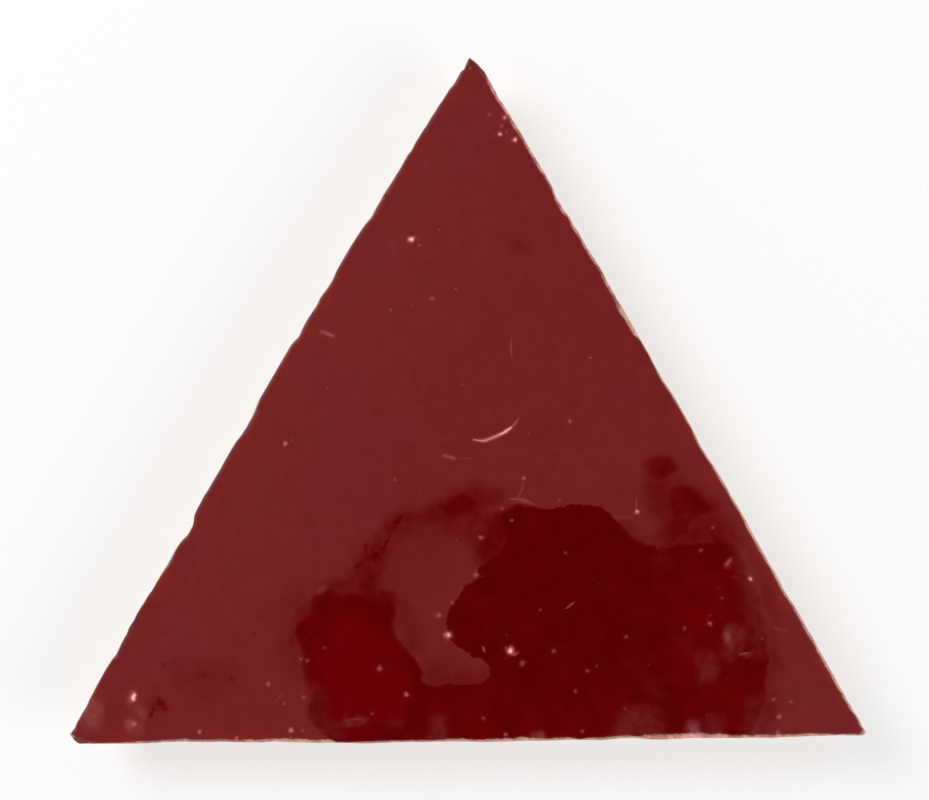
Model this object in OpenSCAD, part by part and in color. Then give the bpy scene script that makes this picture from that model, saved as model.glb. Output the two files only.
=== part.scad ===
// Zellige tile: a triangle of glazed clay, chiselled by hand out of a square tile.
// Millimetres. The back lies on z = 0, +Z points out of the glazed face, the base edge runs along X,
// and the origin is below the middle of the outline.

/* [Outline] */
// Length of the base edge, between the uncut corners
base_edge = 101.6; // [92:0.2:110]
// Length of the right edge, between the uncut corners
right_edge = 99.8; // [92:0.2:110]
// Length of the left edge, between the uncut corners
left_edge = 101.6; // [92:0.2:110]
// Outward bow of the base edge at its middle
base_bow = 0.3; // [-1:0.1:1]
// Outward bow of the right edge at its middle
right_bow = 0.2; // [-1:0.1:1]
// Outward bow of the left edge at its middle
left_bow = 0.9; // [-1:0.1:1]
// Depth of the ripple along the three edges
ripple = 0.05; // [0:0.05:0.4]
// Length of one wave of the ripple
ripple_length = 17; // [8:1:30]
// Width of a middling nick in the three edges
nick_width = 3; // [2:0.5:5]
// Depth of a middling nick
nick_depth = 0.3; // [0:0.05:0.5]

/* [Blunted corners] */
// Left corner: length broken off the base edge
left_corner_base = 1.9; // [0.4:0.1:4.4]
// Left corner: length broken off the left edge
left_corner_side = 1.4; // [0.4:0.1:4.4]
// Right corner: length broken off the base edge
right_corner_base = 0.4; // [0.4:0.1:4.4]
// Right corner: length broken off the right edge
right_corner_side = 0.4; // [0.4:0.1:4.4]
// Apex: length broken off the left edge
apex_left = 0.9; // [0.4:0.1:4.4]
// Apex: length broken off the right edge
apex_right = 2.8; // [0.4:0.1:4.4]

/* [Section] */
// Thickness along the rim, from the back to the top of the glaze
thickness = 11; // [9:0.5:14]
// Rise of the middle of the face over its rim
crown = 0.4; // [0:0.1:1]
// Height of a middling swell of the face
swell = 0.2; // [0:0.05:0.4]
// Thickness of the glaze coat
glaze = 0.4; // [0.2:0.05:0.8]
// Width of bare clay between the cut edge and the glaze
bare_edge = 0.3; // [0.1:0.05:0.6]
// Width over which the glaze rolls off at its rim
glaze_lip = 0.4; // [0.3:0.1:1.2]
// Width of a middling flake off the rim of the glaze
flake_width = 5; // [3:0.5:8]
// Depth of a middling flake
flake_depth = 0.3; // [0:0.05:0.5]

/* [Cut sides] */
// Height of the steep collar under the glaze
collar = 2.6; // [1.5:0.1:4]
// Undercut angle of the collar
collar_angle = 5; // [0:1:10]
// Undercut angle of the base side, below the collar
base_undercut = 17; // [5:1:25]
// Undercut angle of the right side, below the collar
right_undercut = 14; // [5:1:25]
// Undercut angle of the left side, below the collar
left_undercut = 19; // [5:1:25]
// Width of one chisel strike on the sides
strike_width = 8; // [6:0.5:14]
// Depth of the hollow that a strike leaves
strike_depth = 0.9; // [0:0.1:1.2]
// Lean of the strikes from upright
strike_lean = 24; // [-40:2:40]
// Width of one small chip in the collar
chip_width = 4.5; // [3:0.5:8]
// Depth of the small chips in the collar
chip_depth = 0.25; // [0:0.05:0.5]
// Which of the possible rows of strikes and chips the cutter left
hand = 12; // [1:1:40]
// Height of the broken edge round the back
back_break = 0.8; // [0.3:0.1:1.5]

/* [Hidden] */

// Sides and corners are counted anticlockwise: base, right, left from the left corner, right corner, apex
LENGTHS = [base_edge, right_edge, left_edge];
BOWS = [base_bow, right_bow, left_bow];
UNDERCUTS = [base_undercut, right_undercut, left_undercut];
apex_x = (base_edge ^ 2 + left_edge ^ 2 - right_edge ^ 2) / (2 * base_edge);
CORNERS = [[0, 0], [base_edge, 0], [apex_x, sqrt(left_edge ^ 2 - apex_x ^ 2)]];
// Lengths broken off the side that arrives at each corner, and off the side that leaves it
ARRIVING = [left_corner_side, right_corner_base, apex_right];
LEAVING = [left_corner_base, right_corner_side, apex_left];
// How far a broken corner bulges from its chord towards the uncut corner, as a share of the way
corner_bulge = 0.2;

// Nicks in the outline: side, place as a share of that side, and factors on nick_width and nick_depth
NICKS = [
    [0, 0.2, 7, 0.7], [0, 0.7, 2, 0.8],
    [1, 0.42, 2, 0.4], [1, 0.53, 1.5, 0.8], [1, 0.78, 1, 0.6],
    [2, 0.24, 1, 0.6], [2, 0.34, 1, 0.5], [2, 0.415, 0.9, 0.8],
    [2, 0.54, 2, 1], [2, 0.61, 4.5, 0.7], [2, 0.69, 1.3, 1.7], [2, 0.74, 6, 1.1], [2, 0.87, 0.9, 0.8],
    [2, 0.96, 3, 0.6],
];
// Flakes off the rim of the glaze: side, place as a share of that side, and factors on their width and depth
FLAKES = [
    [0, 0.6, 0.6, 1.3], [0, 0.8, 2, 0.8],
    [1, 0.6, 0.8, 2], [1, 0.3, 2.8, 0.6], [1, 0.93, 1.6, 0.6],
    [2, 0.69, 0.8, 0.6],
];
// Swells of the face: place along X and Y and reach as shares of the base edge, and a factor on swell
SWELLS = [
    [0.28, 0.16, 0.14, 1.2], [0.55, 0.2, 0.2, -1.7], [0.86, 0.08, 0.12, 1], [0.5, 0.52, 0.17, 1],
    [0.36, 0.36, 0.1, -0.6], [0.08, 0.05, 0.12, -1], [0.5, 0.8, 0.12, -0.7], [0.7, 0.36, 0.1, 0.6],
];

// Steps along each side, and how many of them turn each corner on either side of it
face_cells = 44;
steps = 2 * face_cells;
turn = 2;
// Width of the border between the uncut edges and the lattice of the face
face_border = 3.2;
// Length at each end of a side over which its ripple and strikes fade out
fade_length = 6;
// Short wave of the ripple: how often it turns and how deep it is, as factors on the long one
short_rate = 2.3;
short_depth = 0.5;
// Angles by which the long and the short wave start later from each side to the next
long_start = 100;
short_start = 40;
// Depth of the shallowest strike as a factor on strike_depth, and how far one strays as a share of its width
least_strike = 0.4;
strike_stray = 0.5;
// Number of bands of the sides below the collar
lower_bands = 5;
// How far the blank reaches below the plane that its back is struck off to
overcut = 1;
// Random numbers that vary the strikes and the chips, and how many of them each row has to itself
DRAWS = rands(0, 1, 96, hand);
row_draws = 16;

function next(k) = (k + 1) % 3;
function last(k) = (k + 2) % 3;
function mix(a, b, t) = a + (b - a) * t;
function heading(k) = (CORNERS[next(k)] - CORNERS[k]) / LENGTHS[k];
function outward(k) = [heading(k).y, -heading(k).x];
function along(k, p) = (p - CORNERS[k]) * heading(k);
function dip(x, width) = max(0, 1 - (2 * x / width) ^ 2);

// Corner k once each side has moved inward by its own inset
function corner(k, insets) =
    let (
        a = outward(last(k)),
        b = outward(k),
        move_a = -insets[last(k)],
        move_b = -insets[k]
    )
    CORNERS[k] + [move_a * b.y - move_b * a.y, a.x * move_b - b.x * move_a] / (a.x * b.y - a.y * b.x);

function side_start(k, insets) = corner(k, insets) + heading(k) * LEAVING[k];
function side_end(k, insets) = corner(next(k), insets) - heading(k) * ARRIVING[next(k)];

// Broken corner k, from the end of the side before it (t = 0) to the start of its own side (t = 1)
function broken_corner(k, t, insets) =
    let (
        from = side_end(last(k), insets),
        to = side_start(k, insets),
        bulge = mix((from + to) / 2, corner(k, insets), corner_bulge)
    )
    mix(mix(from, bulge, t), mix(bulge, to, t), t);

// Step i of side k on the plain outline: half of each corner's break belongs to each of its sides
function track(k, i, insets) =
    i < turn ? broken_corner(k, 0.5 + i / (2 * turn), insets)
    : i > steps - turn ? broken_corner(next(k), (i - steps + turn) / (2 * turn), insets)
    : mix(side_start(k, insets), side_end(k, insets), (i - turn) / (steps - 2 * turn));

// 0 at the ends of side k, which has moved inward with its neighbours, rising to 1 away from them
function fade(k, p, insets) =
    let (
        from_start = (p - corner(k, insets)) * heading(k),
        from_end = (corner(next(k), insets) - p) * heading(k),
        t = max(0, min(1, from_start / fade_length, from_end / fade_length))
    )
    t * t * (3 - 2 * t);

// Depth at place s of side k of the nicks or flakes in some rows, for a middling one of that width and depth
function marks(rows, k, s, width, depth) =
    depth * total([for (row = rows) if (row[0] == k) row[3] * dip(s - row[1] * LENGTHS[k], row[2] * width)]);
function total(list) = list * [for (v = list) 1];
function draw(i) = DRAWS[(i + len(DRAWS)) % len(DRAWS)];
// A long and a short wave, which start elsewhere on each side
function waver(s, k) =
    let (wave_turn = 360 * s / ripple_length)
    sin(wave_turn + long_start * k) + short_depth * sin(short_rate * wave_turn + short_start * k);

// How far the outline stands out from the straight side
function stand_out(k, s) =
    BOWS[k] * sin(180 * s / LENGTHS[k]) + ripple * waver(s, k) - marks(NICKS, k, s, nick_width, nick_depth);

// Hollows struck side by side in a row, uneven in width and depth, with a sharp ridge between each two
function strike_start(i, width, row) = (i + strike_stray * draw(row + i)) * width;
function strike(s, width, row) =
    let (
        guess = floor(s / width),
        i = strike_start(guess, width, row) > s ? guess - 1 : guess,
        from = strike_start(i, width, row),
        to = strike_start(i + 1, width, row)
    )
    (least_strike + draw(row + i + row_draws / 2)) * dip(s - (from + to) / 2, to - from);

// Clay cut away at place s of side k, at a drop below the arris: strikes below, small chips in the collar
function cut_away(k, s, drop) =
    let (
        below = min(1, drop / collar),
        in_collar = max(0, 1 - abs(drop / collar - 1)),
        row = 2 * k * row_draws
    )
    strike_depth * below * strike(s + drop * tan(strike_lean), strike_width, row)
    + chip_depth * in_collar * strike(s, chip_width, row + row_draws);

function undercut(k, drop) =
    min(drop, collar) * tan(collar_angle) + max(0, drop - collar) * tan(UNDERCUTS[k]);

// Distance from side k, which is the same share of the way to the opposite corner all along a parallel
function depth_in(k, p) = outward(k) * (CORNERS[k] - p);
function share(k, p) = depth_in(k, p) / depth_in(k, CORNERS[last(k)]);
// 1 at the centroid, where the three shares are a third each, falling to 0 at the three sides
function bubble(p) = 3 ^ 3 * share(0, p) * share(1, p) * share(2, p);
function wave(p) =
    swell * total([for (row = SWELLS) row[3] * exp(-((norm(p / base_edge - [row[0], row[1]])) / row[2]) ^ 2)]);
function face_z(p) = thickness + crown * max(0, bubble(p)) + wave(p);

// Ring of the cut side at height z, which follows the waves of the face more the higher it is
function side_ring(z) = [
    for (k = [0:2], i = [0:steps - 1])
        let (
            drop = thickness - glaze - z,
            broken = max(0, back_break - z),
            insets = [for (j = [0:2]) undercut(j, drop) + broken],
            plain = track(k, i, insets),
            s = along(k, plain),
            p = plain + outward(k) * fade(k, plain, insets) * (stand_out(k, s) - cut_away(k, s, drop))
        )
        [p.x, p.y, z + wave(p) * max(0, z) / thickness]
];

// Ring of the glaze's edge: inset and height are shares of the lip's width and of the coat's thickness
function glaze_ring(inset, height) = [
    for (k = [0:2], i = [0:steps - 1])
        let (
            back = bare_edge + glaze_lip * inset,
            insets = [back, back, back],
            plain = track(k, i, insets),
            s = along(k, plain),
            flaked = marks(FLAKES, k, s, flake_width, flake_depth),
            p = plain + outward(k) * fade(k, plain, insets) * (stand_out(k, s) - flaked)
        )
        [p.x, p.y, face_z(p) - glaze * (1 - height)]
];

// Triangular lattice of the face: row j holds the points at j cells from the base
lattice_corners = [for (k = [0:2]) corner(k, [face_border, face_border, face_border])];
function lattice_index(i, j) = j * (face_cells + 1) - j * (j - 1) / 2 + i;
lattice = [
    for (j = [0:face_cells], i = [0:face_cells - j])
        let (
            a = lattice_corners[0],
            p = a + (lattice_corners[1] - a) * i / face_cells + (lattice_corners[2] - a) * j / face_cells
        )
        [p.x, p.y, face_z(p)]
];
function lattice_rim(c) =
    let (k = floor(c / face_cells) % 3, i = c % face_cells, j = face_cells - i)
    k == 0 ? lattice_index(i, 0) : k == 1 ? lattice_index(j, i) : lattice_index(0, j);

arris = thickness - glaze;
RINGS = [
    side_ring(-overcut),
    for (band = [0:lower_bands]) side_ring(mix(back_break, arris - collar, band / lower_bands)),
    side_ring(arris - collar / 2),
    side_ring(arris),
    glaze_ring(0, 0.2),
    glaze_ring(0.3, 0.75),
    glaze_ring(1, 1),
];
ring_size = 3 * steps;
top_ring = (len(RINGS) - 1) * ring_size;
lattice_base = len(RINGS) * ring_size;
under = lattice_base + len(lattice);

function ring_point(ring, i) = ring * ring_size + i % ring_size;

band_faces = [
    for (ring = [0:len(RINGS) - 2], i = [0:ring_size - 1])
        let (
            a = ring_point(ring, i),
            b = ring_point(ring, i + 1),
            c = ring_point(ring + 1, i + 1),
            d = ring_point(ring + 1, i)
        )
        each [[a, c, b], [a, d, c]]
];
// Two steps of the top ring meet one cell of the lattice
border_faces = [
    for (c = [0:3 * face_cells - 1])
        let (
            f = [for (i = [0:2]) top_ring + (2 * c + i) % ring_size],
            a = lattice_base + lattice_rim(c),
            b = lattice_base + lattice_rim(c + 1)
        )
        each [[f[0], a, f[1]], [f[1], a, b], [f[1], b, f[2]]]
];
lattice_faces = [
    for (j = [0:face_cells - 1], i = [0:face_cells - 1 - j])
        let (
            a = lattice_base + lattice_index(i, j),
            b = lattice_base + lattice_index(i + 1, j),
            c = lattice_base + lattice_index(i, j + 1),
            d = lattice_base + lattice_index(i + 1, j + 1)
        )
        each (i + j < face_cells - 1 ? [[a, c, b], [b, c, d]] : [[a, c, b]])
];
under_faces = [for (i = [0:ring_size - 1]) [ring_point(0, i), ring_point(0, i + 1), under]];

// Middle of the outline, which the origin lies below
outline_x = [for (p = side_ring(arris)) p.x];
outline_y = [for (p = side_ring(arris)) p.y];
middle = [(min(outline_x) + max(outline_x)) / 2, (min(outline_y) + max(outline_y)) / 2];
centroid = (CORNERS[0] + CORNERS[1] + CORNERS[2]) / 3;

module blank() {
    polyhedron(
        points = concat([for (ring = RINGS) each ring], lattice, [[centroid.x, centroid.y, -overcut]]),
        faces = concat(band_faces, border_faces, lattice_faces, under_faces),
        convexity = 4
    );
}

module tile() {
    reach = base_edge + left_edge;
    color([0.4, 0.05, 0.06])
        translate([-middle.x, -middle.y, 0])
            difference() {
                blank();
                translate([-reach / 2, -reach / 2, -2 * overcut]) cube([2 * reach, 2 * reach, 2 * overcut]);
            }
}

tile();
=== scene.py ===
"""Looks of the zellige tile: red glaze, bare clay along its cut edges, chiselled sides and rough back.

The tile is in millimetres until build_mesh() turns it into metres, and the stage is in metres. Places on
the face are given from the middle of the tile's box, for a tile whose base edge rises by MARK_LEAN, and
settle() turns them into the frame.
"""

import math

import bpy
import numpy as np
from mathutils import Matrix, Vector, noise
from mathutils.bvhtree import BVHTree
from mathutils.geometry import delaunay_2d_cdt


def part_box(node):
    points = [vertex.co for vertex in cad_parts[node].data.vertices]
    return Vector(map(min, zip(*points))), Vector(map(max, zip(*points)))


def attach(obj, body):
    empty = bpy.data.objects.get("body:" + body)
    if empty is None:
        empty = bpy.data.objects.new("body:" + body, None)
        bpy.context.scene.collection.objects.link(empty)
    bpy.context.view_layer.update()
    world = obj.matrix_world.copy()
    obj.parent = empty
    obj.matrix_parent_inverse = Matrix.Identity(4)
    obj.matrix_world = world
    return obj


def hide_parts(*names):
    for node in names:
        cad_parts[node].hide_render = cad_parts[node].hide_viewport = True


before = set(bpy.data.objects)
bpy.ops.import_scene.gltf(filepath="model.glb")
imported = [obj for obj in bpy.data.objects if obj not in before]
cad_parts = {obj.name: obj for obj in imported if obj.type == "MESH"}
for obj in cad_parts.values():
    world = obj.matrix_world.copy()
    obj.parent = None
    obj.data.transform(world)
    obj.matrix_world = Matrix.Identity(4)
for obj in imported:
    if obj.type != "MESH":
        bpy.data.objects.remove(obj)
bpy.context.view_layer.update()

MM = 0.001
LOW, HIGH = (np.array(corner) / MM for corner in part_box("tile"))
CENTRE = np.array([(LOW[0] + HIGH[0]) / 2, LOW[1] + (HIGH[1] - LOW[1]) / 3])

# How far the marks' base edge rises towards the right, and how far the marks then move to fit the frame
MARK_LEAN = math.radians(0.61)
MARK_SHIFT = np.array([0.57, -0.27])

# ---- marks on the face

# Outline of the glossy pool of dark glaze, whose darkness is partly a painted dark reflection
POOL = [
    (3.8, -13.9), (5.3, -13.2), (6.8, -13.1), (8.6, -13.5), (10.4, -13.6), (11.8, -13.1), (14, -13.1),
    (16.2, -13.2), (17.3, -13.7), (18.1, -14.5), (18.9, -15.4), (19.9, -16.5), (21.2, -17.4), (23, -18.2),
    (24.4, -18.2), (26.4, -17.9), (28.8, -17.7), (31.4, -17.5), (33.2, -18), (34.1, -19), (34.8, -20.4),
    (35.7, -22.6), (36.6, -24.6), (37.1, -27), (37.5, -30), (37.5, -34.4), (37.4, -36.7), (37, -38.4),
    (36.3, -40), (35.5, -42), (35.2, -46), (-16, -46), (-17.6, -42.8), (-18.6, -41.5), (-19.9, -39.8),
    (-20.4, -38.2), (-20, -36.6), (-20.4, -35.3), (-20.8, -33.7), (-20.8, -32.3), (-21.2, -31),
    (-21.5, -30), (-22, -28.8), (-21.5, -27.7), (-20.8, -27.1), (-20, -26.5), (-20.1, -25.7),
    (-19.6, -24.8), (-19.1, -24), (-18.1, -23.5), (-17.2, -23.6), (-16.2, -24.2), (-14.6, -24),
    (-13, -24.3), (-11.4, -24.8), (-9.6, -24.9), (-9.3, -26.6), (-9.5, -28), (-9.3, -29.4), (-8.6, -30.7),
    (-7.4, -31.7), (-6.4, -32.9), (-6, -34.2), (-5.7, -35.4), (-4.8, -35.9), (-3, -35.7), (0.4, -35.6),
    (2.1, -35.2), (2.6, -34), (2.2, -32.9), (1.1, -32.2), (-0.3, -31.6), (-1.7, -30.6), (-2.6, -29.6),
    (-2.8, -28), (-2.6, -26.4), (-1.9, -25.2), (-1.4, -24.2), (-0.4, -23.1), (1, -22.3), (1.2, -20.8),
    (2.6, -19.8), (3.8, -18.6), (4.6, -17.2), (4.2, -15.6),
]
# The lists of patches below give each one's strength, the width of its soft edge, and its outline.
# Where the pool's edge is soft instead of crisp
SOFT_EDGES = [
    (0.9, 2.5, [(-12, -22.6), (-7.4, -23), (-6.6, -31), (-9, -33), (-12, -30)]),
    (0.7, 2.5, [(-22, -34.6), (-18.6, -34.6), (-16, -43.4), (-19, -44), (-22, -40)]),
    (1, 2.5, [(-23, -22.6), (-10.6, -22), (-11.4, -26.6), (-17, -27.4), (-22.6, -29)]),
    (0.45, 2.5, [(19, -15.6), (34, -15.6), (34, -20), (19, -20)]),
    (1, 3, [(32, -16.6), (39, -21), (39.6, -28.6), (35.4, -29), (32.6, -22)]),
    (0.4, 3, [(35.4, -27), (39, -28), (39, -36), (35.6, -36)]),
    (0.9, 2.5, [(33.8, -37), (38.8, -37), (37.8, -44), (33, -44)]),
    (0.9, 2.5, [(-23.4, -26.4), (-19, -26.4), (-18.4, -37), (-22.6, -37)]),
    (0.5, 2, [(-7.4, -33.4), (-3.8, -34), (-3.8, -37.4), (-7.4, -37)]),
    (0.4, 2.5, [(2, -12), (8, -11.6), (6, -19), (0, -22)]),
]
# Thinner, brighter glaze within the pool, where its painted dark reflection is paler
THIN_GLAZE_AND_PALER_REFLECTION = [
    (1, 6, [(-19, -27), (-11, -29), (-7.5, -35), (-9, -41), (-18, -41)]),
    (0.6, 8, [(28, -19), (35, -23), (37, -40), (29, -41), (25, -30)]),
    (0.5, 6, [(-6, -39), (6, -37.5), (22, -38), (22, -44), (-6, -44)]),
]
# Softer dark patches, most of them round the pool, given the pool's colour and so its painted dark reflection
HAZES = [
    (0.84, 1.9, [(22.2, -8.3), (22.9, -7.1), (24.6, -6.9), (26.3, -7.7), (25.6, -9.2), (23.8, -9.8)]),
    (0.8, 2, [
        (25, -10.9), (27, -10.5), (28.8, -11.1), (30, -12.3), (30.7, -14), (28.4, -14.6), (25.3, -14.2),
    ]),
    (0.4, 3.2, [(22, -9.6), (27, -9.4), (31.4, -12), (32, -14.6), (28, -15.4), (23.4, -15)]),
    (0.56, 2.6, [(25, -14.4), (28, -13.4), (31.2, -13.8), (32.2, -16), (32.8, -18.8), (24, -18.8)]),
    (0.34, 2.4, [(31.6, -14.2), (33.4, -15.4), (35, -18.4), (33.4, -19.4), (31, -18)]),
    (0.3, 2.6, [(18.6, -14.4), (20.4, -15), (22, -17), (25, -17.6), (25, -18.8), (19, -17.6)]),
    (0.86, 1.8, [(-4, -13.5), (-2.4, -12), (-0.4, -11.4), (1.2, -12.1), (1, -13.6), (-1.3, -14.6)]),
    (0.5, 1.5, [
        (-8.7, -13.8), (-7.6, -14.1), (-8.2, -15.6), (-10, -17.7), (-12.4, -20.6), (-14, -20.9),
        (-13.8, -19.4), (-11.5, -17), (-10.2, -15.2),
    ]),
    (0.5, 2.8, [(-9, -13.8), (-4.5, -12.8), (-1, -11), (2, -13), (2, -16), (-3, -15.8), (-8.6, -15.8)]),
    (0.4, 4.6, [(-10, -14), (-4.5, -14), (2, -14), (2, -18), (-1, -17.6), (-5, -17), (-9.6, -17.6)]),
    (0.42, 3, [(-0.8, -11.6), (1, -10), (4, -11.4), (3.6, -13.4), (-0.6, -13.6)]),
    (0.72, 3.6, [
        (2.4, -14.4), (5.4, -13.4), (5.4, -18), (3.4, -20.4), (1.6, -20.4), (0.2, -18.6), (0.8, -16.2),
    ]),
    (0.42, 3, [
        (-15.6, -23), (-13.6, -19), (-10.4, -15), (-8, -13.4), (-7.4, -15.6), (-9.6, -19), (-11, -23),
    ]),
    (0.36, 5, [(-7, -33.6), (-4, -32.6), (-1, -33), (2.8, -33.6), (2.8, -36.4), (-5.8, -37)]),
    (0.3, 3, [(-9.8, -25.2), (-8, -24.4), (-6.6, -27), (-5.6, -31), (-7.6, -32), (-9.4, -29)]),
    (0.6, 1.8, [(-14, -24), (-13.8, -22.2), (-12.6, -21), (-11.6, -21.6), (-12, -24)]),
    (0.6, 2.2, [(-12, -26), (-11.6, -23.2), (-10, -23.4), (-9, -25), (-9.4, -27)]),
    (0.5, 2.2, [(-20.4, -27), (-19.4, -23.9), (-17.6, -22.6), (-14.4, -22.1), (-11.4, -23), (-9.4, -27)]),
    (0.42, 2.2, [(-22.8, -27.8), (-21.8, -25.6), (-19, -25.6), (-19, -31), (-22.6, -30.8)]),
    (0.2, 4, [(-24.6, -25.6), (-21, -22.6), (-18, -25), (-18, -34.6), (-23.4, -34)]),
    (0.34, 1.8, [(-40.6, -38.2), (-39.4, -36.8), (-38.4, -37.4), (-37.8, -39), (-39, -38.8), (-40.3, -39.5)]),
    (0.5, 1.2, [(24.5, -14.3), (26.9, -14.2), (27.1, -15.2), (24.8, -15.4)]),
    (0.2, 3.4, [(-38, -33), (-33, -32), (-29, -33.6), (-29, -37), (-35, -38)]),
    (0.25, 2.6, [(4, 20.2), (6, 21.2), (8, 19.8), (5.8, 18.6)]),
    (0.34, 2.8, [(34.6, -17.8), (37.4, -21.4), (39, -27), (39, -38), (36.8, -42), (35.6, -42), (36, -26)]),
    (0.16, 5, [(-10.6, -17), (-3, -17), (-1, -21), (-4, -25), (-11, -23.6)]),
]
# Small dark wisps and blots, given the pool's colour and so its painted dark reflection: width, strength, and
# the points they pass
WISPS = [
    (2.4, 0.95, [(-14.2, -20.9), (-13, -20), (-11.9, -19.3), (-11.2, -18.5)]),
    (2, 0.8, [(-12.6, -20.9), (-11.5, -19.8), (-10.7, -18.7)]),
    (2, 0.9, [(-11.2, -18.8), (-10.4, -17.8), (-10, -16.9)]),
    (1.5, 0.6, [(-12.6, -17), (-12.9, -18.5), (-13.4, -19.8)]),
    (1.5, 0.6, [(-11.7, -16.8), (-12, -18.2), (-12.5, -19.6)]),
    (2.2, 0.9, [(-9.7, -16), (-9.1, -15.2), (-8.6, -14.5)]),
    (1.6, 0.7, [(-10.6, -15.4), (-9.6, -15), (-8.6, -14.9)]),
    (1.4, 0.9, [(-8.4, -14.2), (-8.1, -13.7)]),
    (2, 0.4, [(-8.4, -14.4), (-5.6, -13.4), (-3.6, -13.2)]),
    (1.4, 0.6, [(-5.4, -13.4), (-4.4, -13.5)]),
    (1.4, 0.6, [(-1.2, -17.5), (-0.6, -17.5)]),
    (1.9, 1, [(24.4, -14.8), (25.2, -14.8)]),
    (2, 1, [(26, -14.6), (26.9, -14.6)]),
    (2, 0.6, [(28.6, -15.2), (29.8, -15.6)]),
    (1.6, 0.6, [(26.2, -16.4), (27, -16.4)]),
    (1.2, 0.8, [(0.8, -35.5), (1.2, -35.1)]),
    (2.8, 0.7, [(-40.2, -39.3), (-39.9, -38.2), (-39.4, -37.5)]),
    (2.6, 0.7, [(-39.6, -37.5), (-38.9, -37.9), (-38.2, -38.7)]),
]
# Milky smears that lie in or over the pool; the four that rise from the base rim near y -43 are painted
# highlights
SMEARS_AND_HIGHLIGHTS = [
    (0.5, 2.2, [(19.2, -39.2), (21, -38.4), (23.8, -38.6), (24.4, -40.4), (23.6, -43.4), (18.6, -43.4)]),
    (0.14, 1.8, [(19.6, -33), (21, -33), (25, -37.2), (23.6, -38)]),
    (0.42, 2.6, [(33.4, -18.4), (35.2, -19.6), (37.2, -24), (37.4, -31), (35.6, -31), (34.4, -24.6)]),
    (0.3, 1.8, [(-20.6, -36), (-19, -36), (-17.4, -40.2), (-15.6, -42.6), (-18.4, -42.4), (-20.4, -39.4)]),
    (0.34, 2.2, [(35.2, -37.4), (37, -37.4), (36.4, -42), (34.4, -42)]),
    (0.5, 1.4, [(28.7, -31.8), (31, -31.6), (31.1, -35), (29.2, -35.3)]),
    (0.62, 1.6, [(32.2, -28.6), (34, -27.8), (35, -29.2), (34.6, -31.2), (31.9, -32.4), (32.1, -30.4)]),
    (0.8, 0.5, [(34, -31.6), (35.2, -31.4), (36.8, -31), (36.8, -31.3), (35.4, -31.8), (34.2, -32.1)]),
    (0.7, 0.6, [(-18.6, -40.8), (-16.4, -40.5), (-15.7, -39.8), (-13.3, -39.8), (-13, -40.4), (-16.2, -41)]),
    (0.85, 1, [(27.4, -43), (27.7, -40.3), (28.9, -40.1), (29.6, -43)]),
    (0.5, 1, [(29.8, -43), (30, -39.8), (31.8, -39.6), (32.1, -43)]),
    (0.5, 1, [(-5.1, -42.8), (-4.8, -39.8), (-3.2, -39.8), (-2.9, -42.8)]),
    (0.7, 0.8, [(7.7, -43), (8.1, -41.7), (9.3, -41.6), (9.8, -43)]),
    (0.12, 1.4, [(26, -29.5), (28.4, -29.5), (28.8, -32), (26.6, -32)]),
    (0.2, 1.8, [(23.4, -19), (24.6, -18.6), (25.6, -20.4), (23.6, -21)]),
    (0.3, 1.2, [(-10.4, -39.6), (-8.4, -39.6), (-8.4, -40.8), (-10.4, -40.8)]),
]
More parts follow.
